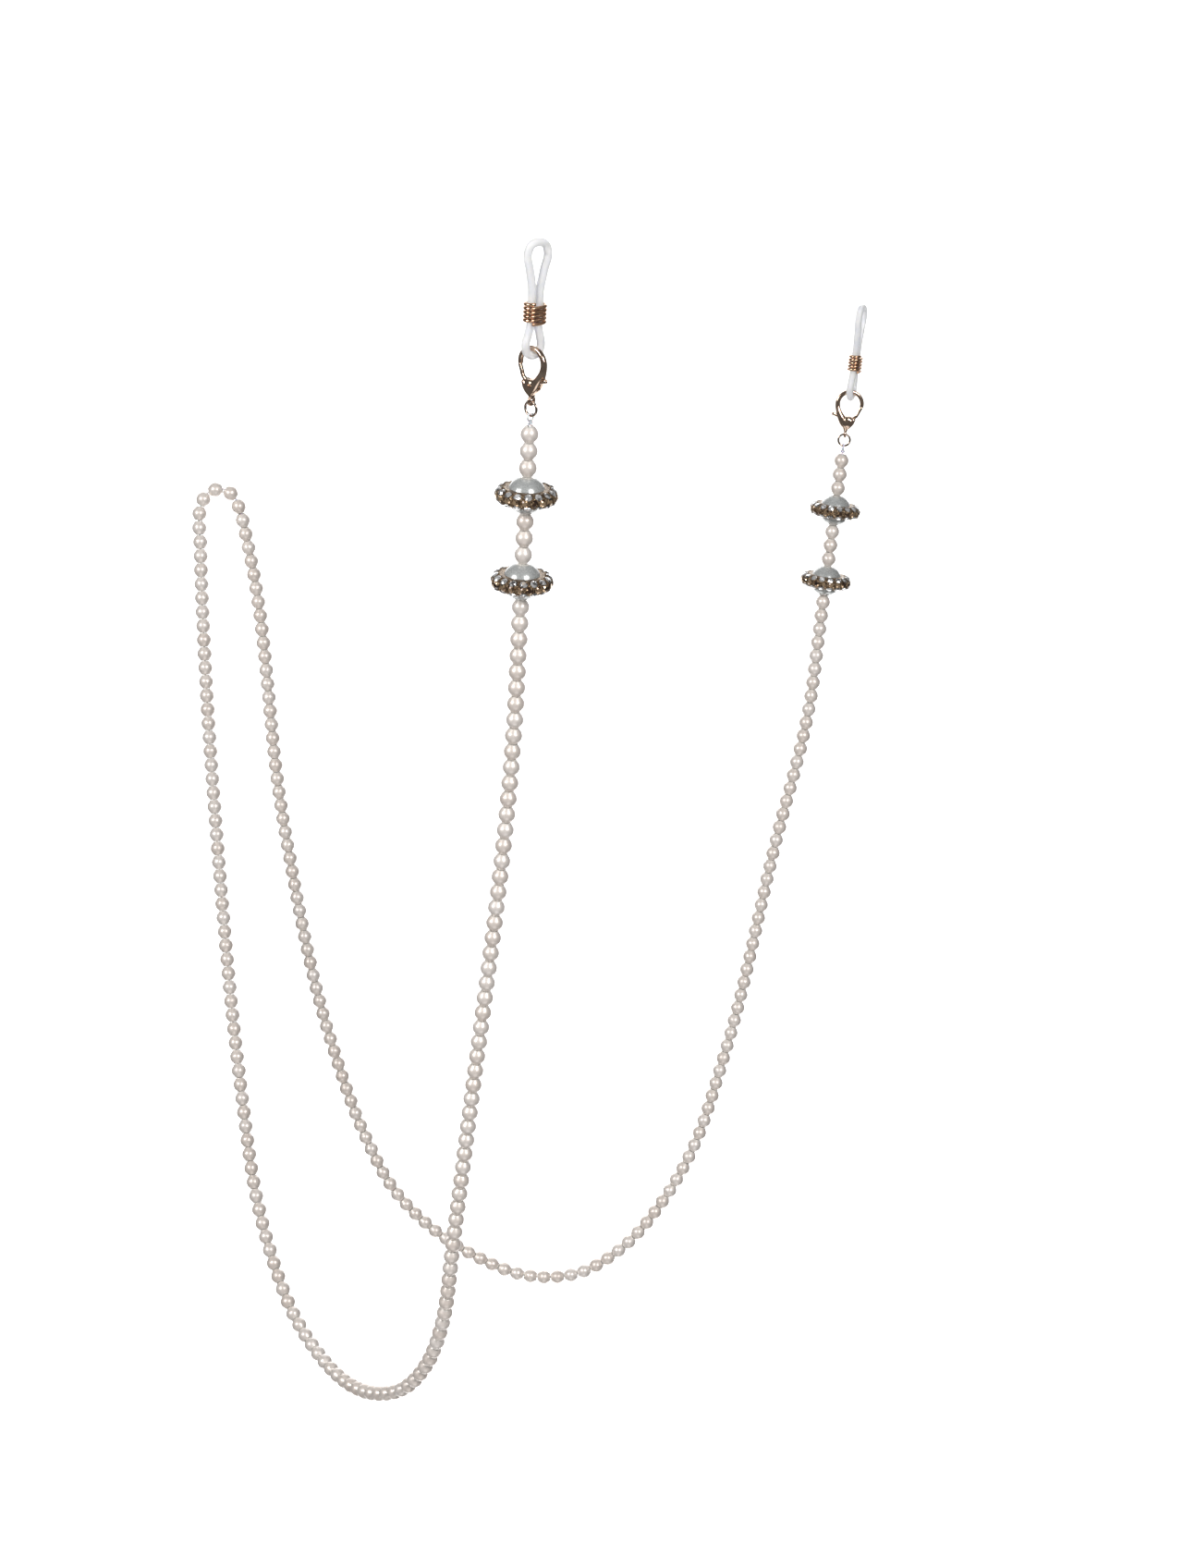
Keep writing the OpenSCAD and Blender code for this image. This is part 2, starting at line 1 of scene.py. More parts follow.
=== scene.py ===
import json
import math

import bpy
import numpy as np
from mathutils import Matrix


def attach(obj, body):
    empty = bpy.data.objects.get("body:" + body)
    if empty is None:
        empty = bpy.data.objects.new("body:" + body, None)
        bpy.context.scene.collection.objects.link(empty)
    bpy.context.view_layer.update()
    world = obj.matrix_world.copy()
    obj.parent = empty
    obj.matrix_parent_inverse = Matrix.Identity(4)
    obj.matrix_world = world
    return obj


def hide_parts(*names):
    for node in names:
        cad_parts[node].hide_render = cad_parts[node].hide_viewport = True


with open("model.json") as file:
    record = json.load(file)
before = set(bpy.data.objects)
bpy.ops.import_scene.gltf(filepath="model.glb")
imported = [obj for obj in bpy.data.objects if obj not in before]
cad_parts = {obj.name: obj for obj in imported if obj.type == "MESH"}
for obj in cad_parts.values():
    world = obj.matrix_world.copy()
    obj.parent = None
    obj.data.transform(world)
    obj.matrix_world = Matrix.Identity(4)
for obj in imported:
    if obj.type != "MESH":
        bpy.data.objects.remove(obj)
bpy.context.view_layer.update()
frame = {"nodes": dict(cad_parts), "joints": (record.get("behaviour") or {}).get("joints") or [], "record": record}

mm = 0.001
record = frame["record"]
joints = {joint["name"]: joint for joint in frame["joints"]}
mounts = {mount["name"]: mount for mount in record["mounts"]}
sides = ("left", "right")


# Camera
cameraSet = {"place": (0.0770, -0.6683, 0.0719), "tilt": 78.77, "lens": 74.29, "sensor": 36.0}


def makeCamera(s):
    data = bpy.data.cameras.new("camera")
    data.lens, data.sensor_width = s["lens"], s["sensor"]
    data.clip_start, data.clip_end = 0.01, 20.0
    camera = bpy.data.objects.new("camera", data)
    camera.location = s["place"]
    camera.rotation_euler = (math.radians(s["tilt"]), 0.0, 0.0)
    bpy.context.scene.collection.objects.link(camera)
    bpy.context.scene.camera = camera


makeCamera(cameraSet)


# Finishes, one function for each kind of material
class Flow:
    # One output socket. Arithmetic on it adds Math nodes
    def __init__(self, paint, socket):
        self.paint, self.socket = paint, socket

    def maths(self, operation, first, second):
        return self.paint.node("ShaderNodeMath", {"operation": operation}, {0: first, 1: second})

    def __add__(self, other):
        return self.maths("ADD", self, other)

    def __mul__(self, other):
        return self.maths("MULTIPLY", self, other)


class Paint:
    def __init__(self, name):
        self.material = bpy.data.materials.new(name)
        self.material.use_nodes = True
        self.tree = self.material.node_tree
        self.surface = self.tree.nodes["Principled BSDF"]
        self.place = self.node("ShaderNodeTexCoord", {}, {}, "Object")

    def node(self, kind, settings, inputs, output=0):
        made = self.tree.nodes.new(kind)
        for name, value in settings.items():
            if name == "stops":
                ramp = made.color_ramp.elements
                while len(ramp) < len(value):
                    ramp.new(0.5)
                for stop, (position, colour) in zip(ramp, value):
                    stop.position = position
                    stop.color = (*colour, 1.0)
            else:
                setattr(made, name, value)
        for key, value in inputs.items():
            self.feed(made.inputs[key], value)
        return Flow(self, made.outputs[output])

    def feed(self, socket, value):
        if isinstance(value, Flow):
            self.tree.links.new(value.socket, socket)
        elif socket.type == "RGBA" and len(value) == 3:
            socket.default_value = (*value, 1.0)
        else:
            socket.default_value = value

    def noise(self, size, detail=3.0, roughness=0.5):
        # size is the width of one blotch in millimetres
        return self.node("ShaderNodeTexNoise", {}, {
            "Vector": self.place, "Scale": 1000.0 / size, "Detail": detail,
            "Roughness": roughness}, "Fac")

    def ramp(self, value, *stops):
        return self.node("ShaderNodeValToRGB", {"stops": stops}, {"Fac": value}, "Color")

    def span(self, value, low, high, start, end):
        # value taken from low..high to start..end and held there
        return self.node("ShaderNodeMapRange", {}, {
            "Value": value, "From Min": low, "From Max": high, "To Min": start, "To Max": end})

    def mix(self, share, first, second):
        return self.node("ShaderNodeMix", {"data_type": "RGBA"},
                         {0: share, 6: first, 7: second}, 2)

    def attribute(self, name):
        return self.node("ShaderNodeAttribute", {"attribute_name": name}, {}, "Fac")

    def bump(self, height, depth):
        # depth is the height of the relief in millimetres
        return self.node("ShaderNodeBump", {}, {"Height": height, "Distance": depth * mm},
                         "Normal")

    def finish(self, **inputs):
        for name, value in inputs.items():
            self.feed(self.surface.inputs[name.replace("_", " ")], value)
        return self.material


def pearlFinish(name, edge, body, blush, roughness, coat):
    paint = Paint(name)
    cloud = paint.noise(2.2, 2.0)
    grain = paint.noise(0.35, 3.0, 0.6)
    tone = paint.attribute("tone")
    colour = paint.ramp(cloud * 0.55 + tone * 0.45, (0.15, edge), (0.5, body), (0.85, blush))
    # Painted light: the collar round each bore is mixed towards a pale ivory, standing for light that bounces into
    # the joins between beads and shines through them
    colour = paint.mix(paint.attribute("collar") * 0.7, colour, (0.80, 0.77, 0.72))
    return paint.finish(
        Base_Color=colour,
        Roughness=paint.span(grain, 0.3, 0.7, roughness - 0.04, roughness + 0.06),
        Normal=paint.bump(grain, 0.002), Metallic=0.30, Coat_Weight=coat, Coat_Roughness=0.16,
        Coat_IOR=1.5, Specular_IOR_Level=0.3)


def clayFinish():
    paint = Paint("goldClay")
    lump = paint.noise(0.5, 4.0, 0.6)
    dust = paint.noise(0.12, 2.0, 0.7)
    colour = paint.ramp(lump * 0.5 + dust * 0.5, (0.36, (0.035, 0.02, 0.014)),
                        (0.50, (0.16, 0.10, 0.055)), (0.64, (0.66, 0.50, 0.32)))
    return paint.finish(
        Base_Color=colour, Metallic=paint.span(dust, 0.42, 0.55, 0.2, 0.95),
        Roughness=paint.span(dust, 0.35, 0.65, 0.45, 0.16),
        Normal=paint.bump(lump * 0.5 + dust * 0.5, 0.10))


def stoneFinish(name, dark, middle, light, metallic):
    paint = Paint(name)
    # Painted reflection: every facet takes a random brightness on a dark to light ramp, standing for reflections
    # inside the cut stone; the topaz's middle stop is the stone's own colour
    facet = paint.attribute("facet")
    colour = paint.ramp(facet, (0.0, dark), (0.4, middle), (0.8, light))
    haze = paint.noise(0.5, 2.0)
    return paint.finish(
        Base_Color=colour, Metallic=metallic, Roughness=paint.span(haze, 0.35, 0.65, 0.03, 0.12),
        Coat_Weight=1.0, Coat_Roughness=0.02, Coat_IOR=1.6)


def metalFinish(name, base, worn, roughness):
    paint = Paint(name)
    wash = paint.noise(1.8, 3.0)
    fine = paint.noise(0.25, 4.0, 0.65)
    colour = paint.mix(paint.span(wash, 0.4, 0.65, 0.0, 1.0), base, worn)
    return paint.finish(
        Base_Color=colour, Metallic=1.0,
        Roughness=paint.span(fine * 0.6 + wash * 0.4, 0.35, 0.65, roughness * 0.6, roughness * 1.6),
        Normal=paint.bump(fine, 0.010))


def siliconeFinish():
    paint = Paint("milkySilicone")
    cloud = paint.noise(1.6, 2.0)
    skin = paint.noise(0.2, 3.0)
    colour = paint.ramp(cloud, (0.3, (0.86, 0.88, 0.93)), (0.7, (0.97, 0.96, 0.97)))
    return paint.finish(
        Base_Color=colour, Roughness=paint.span(skin, 0.3, 0.7, 0.26, 0.38),
        IOR=1.42, Subsurface_Weight=0.7, Subsurface_Scale=0.8 * mm,
        Subsurface_Radius=(0.9, 0.9, 1.0), Alpha=0.76)


def threadFinish():
    paint = Paint("nylonThread")
    fibre = paint.noise(0.12, 3.0, 0.6)
    colour = paint.ramp(fibre, (0.3, (0.66, 0.65, 0.70)), (0.7, (0.90, 0.89, 0.92)))
    return paint.finish(
        Base_Color=colour, Roughness=paint.span(fibre, 0.3, 0.7, 0.25, 0.45),
        Subsurface_Weight=0.3, Subsurface_Scale=0.2 * mm, Normal=paint.bump(fibre, 0.01))


finishes = {
    "thread": threadFinish(),
    "small_pearl": pearlFinish("ivoryPearl", (0.82, 0.725, 0.66), (0.87, 0.79, 0.73),
                               (0.91, 0.85, 0.81), 0.36, 0.35),
    "core_pearl": pearlFinish("greyPearl", (0.44, 0.455, 0.455), (0.50, 0.515, 0.51),
                              (0.56, 0.575, 0.57), 0.26, 0.9),
    "clay": clayFinish(),
    "clear_stone": stoneFinish("clearStone", (0.16, 0.15, 0.15), (0.88, 0.88, 0.88),
                               (0.98, 0.98, 0.99), 0.70),
    "topaz_stone": stoneFinish("topazStone", (0.04, 0.02, 0.015), (0.26, 0.14, 0.07),
                               (0.96, 0.68, 0.42), 0.85),
    "silicone": siliconeFinish(),
    "copper_wire": metalFinish("copperWire", (0.66, 0.40, 0.25), (0.82, 0.56, 0.39), 0.20),
    "gold_plate": metalFinish("champagneGold", (0.62, 0.46, 0.36), (0.74, 0.57, 0.45), 0.12),
    "ring_wire": metalFinish("ringWire", (0.46, 0.38, 0.33), (0.60, 0.48, 0.40), 0.14),
    "spring_steel": metalFinish("springSteel", (0.50, 0.49, 0.48), (0.60, 0.59, 0.57), 0.25),
}
print("finishes made:", len(finishes))


# Mesh tools. Lengths are in millimetres until fillMesh
def unit(v):
    return v / np.linalg.norm(v, axis=-1, keepdims=True)


def fillMesh(name, verts, faceSets, values=None, smooth=True):
    mesh = bpy.data.meshes.new(name)
    corners = np.concatenate([f.ravel() for f in faceSets]).astype(np.int32)
    sizes = np.concatenate([np.full(len(f), f.shape[1]) for f in faceSets])
    mesh.vertices.add(len(verts))
    mesh.loops.add(len(corners))
    mesh.polygons.add(len(sizes))
    mesh.vertices.foreach_set("co", (verts * mm).astype(np.float32).ravel())
    mesh.loops.foreach_set("vertex_index", corners)
    starts = np.concatenate([[0], np.cumsum(sizes)[:-1]]).astype(np.int32)
    mesh.polygons.foreach_set("loop_start", starts)
    mesh.polygons.foreach_set("use_smooth", np.full(len(sizes), smooth))
    mesh.update(calc_edges=True)
    for key, (domain, array) in (values or {}).items():
        mesh.attributes.new(key, "FLOAT", domain).data.foreach_set(
            "value", array.astype(np.float32))
    return mesh


def addPiece(name, mesh, body, slot, *nodes):
    piece = bpy.data.objects.new(name, mesh)
    bpy.context.scene.collection.objects.link(piece)
    mesh.materials.append(finishes[slot])
    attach(piece, body)
    if nodes:
        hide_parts(*nodes)
    return piece


def smoothCurve(points, steps, closed=False):
    # Cubic through the points. A point's slope is the mean of its two sides' directions,
    # each weighted by the other side's length, and an open end takes its one side's
    p = np.asarray(points, float)
    q = np.roll(p, -1, 0) if closed else p[1:]
    side = q - p[:len(q)]
    length = np.linalg.norm(side, axis=1)[:, None]
    way = side / length
    if closed:
        before, lengthBefore = np.roll(way, 1, 0), np.roll(length, 1, 0)
        slope = (way * lengthBefore + before * length) / (length + lengthBefore)
        slopeNext = np.roll(slope, -1, 0)
    else:
        inner = (way[1:] * length[:-1] + way[:-1] * length[1:]) / (length[1:] + length[:-1])
        every = np.concatenate([way[:1], inner, way[-1:]])
        slope, slopeNext = every[:-1], every[1:]
    u = (np.arange(steps) / steps)[None, :, None]
    a, b = p[:len(q), None], q[:, None]
    m, n = (slope * length)[:, None], (slopeNext * length)[:, None]
    curve = (a * (2 * u**3 - 3 * u**2 + 1) + b * (3 * u**2 - 2 * u**3)
             + m * (u**3 - 2 * u**2 + u) + n * (u**3 - u**2))
    curve = curve.reshape(-1, p.shape[1])
    return curve if closed else np.concatenate([curve, p[-1:]])


def gridFaces(rows, columns, closeRows, closeColumns):
    # Quads of a grid whose point (row, column) has the index row * columns + column
    r = np.arange(rows if closeRows else rows - 1)[:, None]
    c = np.arange(columns if closeColumns else columns - 1)[None, :]
    r2, c2 = (r + 1) % rows, (c + 1) % columns
    quads = np.stack([r * columns + c, r * columns + c2, r2 * columns + c2, r2 * columns + c], -1)
    return quads.reshape(-1, 4)


def carried(path, wide, thick, across, count, closed=False, power=2.0):
    # A superellipse carried along a path: wide is its half size square to both the path and
    # across, thick its half size along across. Open ends are closed by flat faces
    path = np.asarray(path, float)
    if closed:
        way = unit(np.roll(path, -1, 0) - np.roll(path, 1, 0))
    else:
        way = unit(np.gradient(path, axis=0))
    across = np.broadcast_to(np.asarray(across, float), path.shape)
    flank = unit(np.cross(across, way))
    across = np.cross(way, flank)
    turn = np.linspace(0, 2 * np.pi, count, endpoint=False)
    x = np.sign(np.cos(turn)) * np.abs(np.cos(turn)) ** (2 / power)
    y = np.sign(np.sin(turn)) * np.abs(np.sin(turn)) ** (2 / power)
    wide = np.broadcast_to(wide, len(path))[:, None, None]
    thick = np.broadcast_to(thick, len(path))[:, None, None]
    verts = (path[:, None] + flank[:, None] * x[None, :, None] * wide
             + across[:, None] * y[None, :, None] * thick)
    faces = gridFaces(len(path), count, closed, True)
    ends = [] if closed else [np.arange(count)[None, ::-1],
                              (len(path) - 1) * count + np.arange(count)[None]]
    return verts.reshape(-1, 3), [faces, *ends]


def roundEnds(path, wide, thick, steps=5):
    # Adds rings beyond both ends whose size falls off as a quarter circle
    path = np.asarray(path, float)
    wide = np.broadcast_to(wide, len(path)).astype(float)
    thick = np.broadcast_to(thick, len(path)).astype(float)
    turn = np.linspace(0, 0.47 * np.pi, steps + 1)[1:]
    reach, share = np.sin(turn)[:, None], np.cos(turn)
    first, last = unit(path[0] - path[1]), unit(path[-1] - path[-2])
    startSize, endSize = min(wide[0], thick[0]), min(wide[-1], thick[-1])
    path = np.concatenate([(path[0] + first * startSize * reach)[::-1], path,
                           path[-1] + last * endSize * reach])
    wide = np.concatenate([(wide[0] * share)[::-1], wide, wide[-1] * share])
    thick = np.concatenate([(thick[0] * share)[::-1], thick, thick[-1] * share])
    return path, wide, thick


def turned(profile, segments):
    # A closed (radius, height) profile, anticlockwise as seen with the axis on its left, turned
    # about Z. Point (ring, place in the profile) has the index ring * len(profile) + place
    profile = np.asarray(profile, float)
    turn = np.linspace(0, 2 * np.pi, segments, endpoint=False)[:, None]
    r, z = profile[None, :, 0], profile[None, :, 1]
    verts = np.stack([r * np.cos(turn), r * np.sin(turn), z + 0 * turn], -1)
    return verts.reshape(-1, 3), [gridFaces(segments, len(profile), True, True)]


def joined(*shapes):
    # Several (verts, faceSets) as one
    verts, faceSets, start = [], [], 0
    for shapeVerts, shapeFaces in shapes:
        faceSets += [f + start for f in shapeFaces]
        verts.append(shapeVerts)
        start += len(shapeVerts)
    return np.concatenate(verts), faceSets


def copies(verts, faceSets, places, axes):
    # One shape at many places. axes holds each copy's X, Y and Z directions as rows
    spread = np.einsum("vk,nkj->nvj", verts, axes) + places[:, None]
    shift = (np.arange(len(places)) * len(verts))[:, None, None]
    return spread.reshape(-1, 3), [(f[None] + shift).reshape(-1, f.shape[1]) for f in faceSets]


def placed(shape, origin, axes, mirrored=False):
    # A shape from its own frame into the model's. A mirror image has its faces turned round
    verts, faceSets = shape
    if mirrored:
        verts = verts * (-1, 1, 1)
        faceSets = [f[:, ::-1] for f in faceSets]
    return verts @ np.asarray(axes) + origin, faceSets


# The thread's route, which every bead follows
route = mm * np.array([
    [67, -140, 27], [65, -133, -7], [64, -129.5, -24], [55, -115, -100], [52, -108, -123],
    [49, -98, -144.5], [46, -91.5, -154], [41, -84, -162], [34.5, -75, -166.5], [28, -64.5, -168],
    [22, -54.5, -166], [16.5, -46, -161], [12, -39, -152.5], [8.5, -33, -142.5], [4.5, -24, -120.5],
    [-0.5, -12, -74], [-3.5, -4, -27], [-4, -1.5, -9.5], [-4, -0.5, -2.5], [-2.8, 0, 0.3],
    [0, 0, 1.5], [2.8, 0, 0.3], [4, 0, -2.5], [5.5, 0.5, -9.5], [12, 0.5, -69.5], [21, 1, -116.5],
    [28.5, 1, -139], [34, 1, -150], [42, 1.5, -159], [52, 2, -166], [63, 2.5, -170.5],
    [74, 2.5, -170], [84, 3, -164], [92, 3.5, -154.5], [98, 3.5, -144], [105.5, 4, -121.5],
    [116, 4.5, -75], [123, 5, -45], [125, 4, -27], [129, 2, 9]
])
threadSet = {"diameter": 0.36, "steps": 8, "sides": 8, "chord": 1.0, "bendRoom": 0.6,
             "reference": (0.5, 0.85, 0.0)}
beadSet = {"pearlLength": 2.84, "coreLength": 6.3, "gap": 0.04, "knot": 1.0, "lead": 3,
           "spacer": 3, "groups": 14}

path = smoothCurve(route / mm, threadSet["steps"])
steps = np.diff(path, axis=0)
lengths = np.linalg.norm(steps, axis=1)
ways = unit(steps)
bends = np.concatenate([[0], np.arccos(np.clip((ways[1:] * ways[:-1]).sum(1), -1, 1))])
arc = np.concatenate([[0], np.cumsum(lengths)])
threadLength = arc[-1]


def at(s):
    return np.stack([np.interp(s, arc, path[:, k]) for k in range(3)], -1)


def onThread(s):
    # Places on the thread and their axes: Z along it towards its left end
    s = np.atleast_1d(s)
    a, b = at(s - threadSet["chord"]), at(s + threadSet["chord"])
    z = unit(a - b)
    around, tilt = np.arctan2(z[:, 1], z[:, 0]), np.arccos(z[:, 2])
    x = np.stack([np.cos(tilt) * np.cos(around), np.cos(tilt) * np.sin(around), -np.sin(tilt)], -1)
    y = np.stack([-np.sin(around), np.cos(around), 0 * around], -1)
    return (a + b) / 2, np.stack([x, y, z], 1)


def beadPlaces(s):
    # Distances from either knot to each bead, as they are strung
    pitch = s["pearlLength"] + s["gap"]
    coreStep = (s["coreLength"] + s["pearlLength"]) / 2 + s["gap"]
    firstPearl = s["knot"] / 2 + s["gap"] + s["pearlLength"] / 2
    upper = firstPearl + (s["lead"] - 1) * pitch + coreStep
    lower = upper + 2 * coreStep + (s["spacer"] - 1) * pitch
    ends = {"lead": firstPearl + np.arange(s["lead"]) * pitch, "upper": upper,
            "spacer": upper + coreStep + np.arange(s["spacer"]) * pitch, "lower": lower}
    # The main run takes equal steps of a measure that grows more slowly where the strand bends
    measure = arc - threadSet["bendRoom"] * np.concatenate([[0], np.cumsum(bends)])
    start, end = np.interp([lower + coreStep, threadLength - lower - coreStep], arc, measure)
    count = int((end - start) / pitch) + 1
    run = np.interp(np.linspace(start, end, count), measure, arc)
    return ends, run


endPlaces, runPlaces = beadPlaces(beadSet)


def fromSide(side, s):
    return s if side == "left" else threadLength - s


thread = addPiece("beadingThread", fillMesh("beadingThread", *carried(
    path, threadSet["diameter"] / 2, threadSet["diameter"] / 2, threadSet["reference"],
    threadSet["sides"])), "strand", "thread", "thread")
path * mm
print("thread:", round(threadLength, 1), "mm,", len(runPlaces), "pearls in the main run")


# Small pearls
pearlSet = {"girdle": 1.5, "segments": 10,
            "profile": ((1.36, 0.63), (1.03, 1.09), (0.84, 1.345), (0.58, 1.40), (0.40, 0.80)),
            "sizeSpread": 0.018, "seed": 11}
pearlDraws = np.random.default_rng(pearlSet["seed"])


def splineControls(targets):
    # Corners whose closed cubic B-spline passes through the targets, each (1, 4, 1) / 6 weighted
    n = len(targets)
    weights = (np.eye(n) * 4 + np.roll(np.eye(n), 1, 0) + np.roll(np.eye(n), -1, 0)) / 6
    return np.linalg.solve(weights, np.asarray(targets, float))


def pearlShape(s):
    # Half of the profile is mirrored in the girdle, and the ring is widened by what
    # subdivision takes off a polygon of so many sides
    half = np.array(s["profile"])
    whole = np.concatenate([half[::-1] * (1, -1), [[s["girdle"], 0.0]], half])
    controls = splineControls(whole) * (6 / (4 + 2 * np.cos(2 * np.pi / s["segments"])), 1)
    shape = turned(controls, s["segments"])
    # The collar mask marks the ends next to the bore, where the finish paints light into the joins
    collar = np.tile(np.abs(whole[:, 1]) > 1.3, s["segments"]).astype(float)
    return shape, collar


def pearlPiece(name, s, places, node):
    shape, collar = pearlShape(s)
    centres, axes = onThread(places)
    spin = pearlDraws.uniform(0, 2 * np.pi, len(centres))
    x, y = axes[:, 0].copy(), axes[:, 1].copy()
    axes[:, 0] = x * np.cos(spin)[:, None] + y * np.sin(spin)[:, None]
    axes[:, 1] = y * np.cos(spin)[:, None] - x * np.sin(spin)[:, None]
    # Each pearl differs a little in width and roundness, and never exceeds its full size
    girth = 1 - s["sizeSpread"] * pearlDraws.uniform(0, 1, (len(centres), 2))
    axes[:, :2] *= girth[:, :, None]
    verts, faces = copies(*shape, centres, axes)
    tone = np.repeat(pearlDraws.uniform(0, 1, len(centres)), len(collar))
    mesh = fillMesh(name, verts, faces, {
        "tone": ("POINT", tone), "collar": ("POINT", np.tile(collar, len(centres)))})
    piece = addPiece(name, mesh, "strand", "small_pearl", node)
    smooth = piece.modifiers.new("round", "SUBSURF")
    smooth.levels = smooth.render_levels = 1
    return piece


for group in range(beadSet["groups"]):
    share = np.arange(group * len(runPlaces) // beadSet["groups"],
                      (group + 1) * len(runPlaces) // beadSet["groups"])
    pearlPiece(f"pearlRun{group + 1:02d}", pearlSet, runPlaces[share],
               f"run_pearls_{group + 1:02d}")
for side in sides:
    for part in ("lead", "spacer"):
        pearlPiece(f"{side}{part.title()}Pearls", pearlSet, fromSide(side, endPlaces[part]),
                   f"{side}_{part}_pearls")
print("small pearls strung")


# Saucer beads
coreSet = {"radius": 3.25, "half": 3.15, "collar": 0.62, "collarRise": 0.10, "bore": 0.45,
           "segments": 56, "rings": 30}
stoneSet = {"girdle": 0.68, "table": 0.37, "crown": 0.24, "pavilion": 0.46, "culet": 0.10,
            "belt": 0.04, "corners": 8, "rim": 20, "edge": 16, "tilt": 0.09, "seed": 23}
bandSet = {"outer": 5.0, "half": 1.25, "rimHalf": 0.68, "slope": 0.9, "inner": 2.62,
           "foot": 2.95, "lip": 0.10, "segments": 320, "profile": 56, "seat": 0.22, "ridge": 0.13,
           "rough": 0.035, "seed": 31,
           "hollow": ((3.20, 0.62), (3.262, 0.0), (3.20, -0.62))}
slopeAngle = math.atan2(bandSet["half"] - bandSet["rimHalf"], bandSet["slope"])
edgeRadius = bandSet["outer"] - bandSet["slope"] / 2
edgeHeight = (bandSet["half"] + bandSet["rimHalf"]) / 2


def coreShape(s):
    # Ball cut short at both ends, with a low collar round a bore with rounded lips
    rise = math.asin((s["half"] - s["collarRise"]) / s["radius"])
    angle = np.linspace(-rise, rise, s["rings"])
    ball = np.stack([s["radius"] * np.cos(angle), s["radius"] * np.sin(angle)], -1)
    lip = np.array([[s["collar"], s["half"] - 0.03], [s["collar"] - 0.03, s["half"]],
                    [s["bore"] + 0.06, s["half"]], [s["bore"], s["half"] - 0.08]])
    return turned(np.concatenate([ball, lip, lip[::-1] * (1, -1)]), s["segments"])


def stonePlaces(s):
    # Every stone's seat: place, and its table's direction. 0 is the rim row, 1 and -1 the edges
    rows = []
    for row, count, radius, height in ((0, s["rim"], bandSet["outer"], 0.0),
                                       (1, s["edge"], edgeRadius, edgeHeight),
                                       (-1, s["edge"], edgeRadius, -edgeHeight)):
        turn = (np.arange(count) + 0.5 * abs(row)) * 2 * np.pi / count
        lift = row * (np.pi / 2 - slopeAngle)
        place = np.stack([radius * np.cos(turn), radius * np.sin(turn), height + 0 * turn], -1)
        facing = np.stack([np.cos(lift) * np.cos(turn), np.cos(lift) * np.sin(turn),
                           np.sin(lift) + 0 * turn], -1)
        rows.append((row, place, facing))
    return rows


def stoneShape(s):
    # Round cut: eight-sided table, a crown of triangles, a thin girdle and a pointed back
    n = s["corners"]
    turn = np.arange(n) * 2 * np.pi / n

    def ring(radius, height, shift):
        a = turn + shift * np.pi / n
        return np.stack([radius * np.cos(a), radius * np.sin(a), height + 0 * a], -1)

    verts = np.concatenate([
        ring(s["culet"], -s["pavilion"], 0), ring(s["girdle"], -s["belt"], 0),
        ring(s["girdle"], 0, 0), ring(s["table"], s["crown"], 1)])
    i, j = np.arange(n), (np.arange(n) + 1) % n
    back = np.stack([i, j, n + j, n + i], -1)
    belt = np.stack([n + i, n + j, 2 * n + j, 2 * n + i], -1)
    kites = np.stack([2 * n + i, 2 * n + j, 3 * n + i], -1)
    stars = np.stack([2 * n + j, 3 * n + j, 3 * n + i], -1)
    return verts, [back, belt, kites, stars, i[None, ::-1], 3 * n + i[None]]


def bandShape(s):
    # The band's section carried round the core, then moved along its normal: down under each
    # stone, up into a soft ridge between stones, and a little at random
    half = np.array([[s["outer"], s["rimHalf"]], [s["outer"] - s["slope"], s["half"]],
                     [s["foot"], s["half"]], [s["inner"], s["half"] - s["lip"]]])
    loop = np.concatenate([half[::-1] * (1, -1), half, s["hollow"]])
    loop = np.concatenate([loop, loop[:1]])
    reach = np.concatenate([[0], np.cumsum(np.linalg.norm(np.diff(loop, axis=0), axis=1))])
    stops = np.linspace(0, reach[-1], s["profile"], endpoint=False)
    profile = np.stack([np.interp(stops, reach, loop[:, k]) for k in range(2)], -1)
    ahead, behind = np.roll(profile, -1, 0), np.roll(profile, 1, 0)
    profile = (profile * 2 + ahead + behind) / 4
    way = unit(np.roll(profile, -1, 0) - np.roll(profile, 1, 0))
    outward = np.stack([way[:, 1], -way[:, 0]], -1)
    (verts, faces), count = turned(profile, s["segments"]), s["profile"]
    turn = np.repeat(np.linspace(0, 2 * np.pi, s["segments"], endpoint=False), count)
    o = np.tile(outward, (s["segments"], 1))
    normal = np.stack([o[:, 0] * np.cos(turn), o[:, 0] * np.sin(turn), o[:, 1]], -1)
    seats = np.concatenate([place for _, place, _ in stonePlaces(stoneSet)])
    gap = np.sqrt(((verts[:, None] - seats[None]) ** 2).sum(-1)).min(1)
    girdle = stoneSet["girdle"]
    dip = 1 / (1 + np.exp((gap - girdle * 0.98) / 0.035))
    ridge = np.exp(-((gap - girdle - 0.07) / 0.09) ** 2)
    onFace = np.clip((np.hypot(verts[:, 0], verts[:, 1]) - 3.6) / 0.3, 0, 1)
    rough = np.random.default_rng(s["seed"]).uniform(-1, 1, len(verts))
    move = onFace * (s["ridge"] * ridge - s["seat"] * dip + s["rough"] * rough)
    return verts + normal * move[:, None], faces


